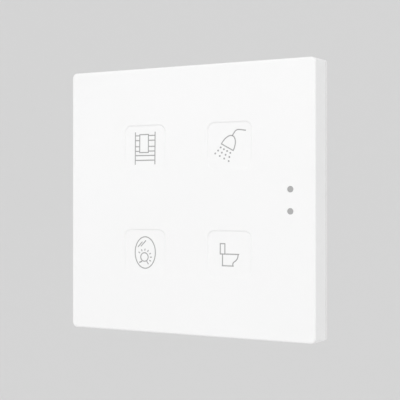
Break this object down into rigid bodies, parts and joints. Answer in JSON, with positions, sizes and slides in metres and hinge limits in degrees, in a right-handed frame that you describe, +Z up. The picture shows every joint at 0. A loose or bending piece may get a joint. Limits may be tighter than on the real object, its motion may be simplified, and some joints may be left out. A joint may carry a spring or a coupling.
{
  "type": "capacitive push button switch",
  "caption": "Square white wall-mounted touch panel with shallow touch recesses and grey sensor windows, held by magnets on a steel wall plate, with plug sockets in a block behind.",
  "frame": {"origin": "The middle of the wall plate's back face, in the plane of the wall.", "axes": "+X is to the right of someone who faces the switch, +Y goes into the wall, +Z is up. The touch face looks along -Y."},
  "size_m": [0.081, 0.0207, 0.081],
  "materials": {
    "cover_white": "fine satin texture, moulded",
    "rear_white": "plain moulded",
    "window_grey": "smoked, flush with the face",
    "diffuser_milky": "milky translucent",
    "frame_white": "plain moulded",
    "baffle_black": "plain",
    "board_green": "solder mask",
    "pad_copper": "bare copper",
    "chip_black": "moulded package",
    "led_yellow": "clear lens over phosphor",
    "sensor_dark": "infrared filter lens",
    "can_aluminium": "sleeveless can",
    "crystal_steel": "nickel-plated lid",
    "ferrite_grey": "ferrite",
    "connector_black": "plain moulded",
    "pin_tin": "tin plated",
    "switch_steel": "stamped",
    "actuator_black": "plain moulded",
    "key_white": "plain moulded",
    "pipe_clear": "clear",
    "magnet_nickel": "nickel plated",
    "screw_steel": "zinc plated",
    "plate_steel": "galvanised sheet"
  },
  "bodies": {
    "plate": {"wall_plate": "plate_steel"},
    "switch": {"front_cover": "cover_white", "rear_cover": "rear_white", "light_frame": "frame_white", "sensor_baffle": "baffle_black", "touch_board": "board_green", "backlight_leds": "led_yellow", "touch_controller": "chip_black", "microcontroller": "chip_black", "crystal": "crystal_steel", "temperature_sensor": "chip_black", "board_connector": "connector_black", "bus_board": "board_green", "bus_transceiver": "chip_black", "inductor": "ferrite_grey", "storage_capacitors": "can_aluminium", "bus_pins": "pin_tin", "input_pins": "pin_tin", "prog_switch_base": "connector_black", "prog_switch_dome": "switch_steel", "prog_led": "led_yellow", "prog_light_pipe": "pipe_clear", "magnets": "magnet_nickel", "cover_screws": "screw_steel", "sensor_window_upper": "window_grey", "sensor_window_lower": "window_grey", "proximity_sensor": "sensor_dark", "ambient_light_sensor": "sensor_dark", "diffuser_upper_left": "diffuser_milky", "touch_pad_upper_left": "pad_copper", "diffuser_upper_right": "diffuser_milky", "touch_pad_upper_right": "pad_copper", "diffuser_lower_left": "diffuser_milky", "touch_pad_lower_left": "pad_copper", "diffuser_lower_right": "diffuser_milky", "touch_pad_lower_right": "pad_copper"},
    "key": {"prog_key": "key_white", "prog_switch_actuator": "actuator_black"}
  },
  "joints": [
    {"name": "switch_pull_off", "type": "slide", "parent": "plate", "child": "switch", "axis": [0, -1, 0], "range_m": [0, 0.02]},
    {"name": "prog_key_press", "type": "slide", "parent": "switch", "child": "key", "axis": [0, -1, 0], "range_m": [0, 0.00025], "stiffness_N_per_m": 1500, "springref_m": -0.0003, "deforming": ["prog_switch_dome"]}
  ]
}
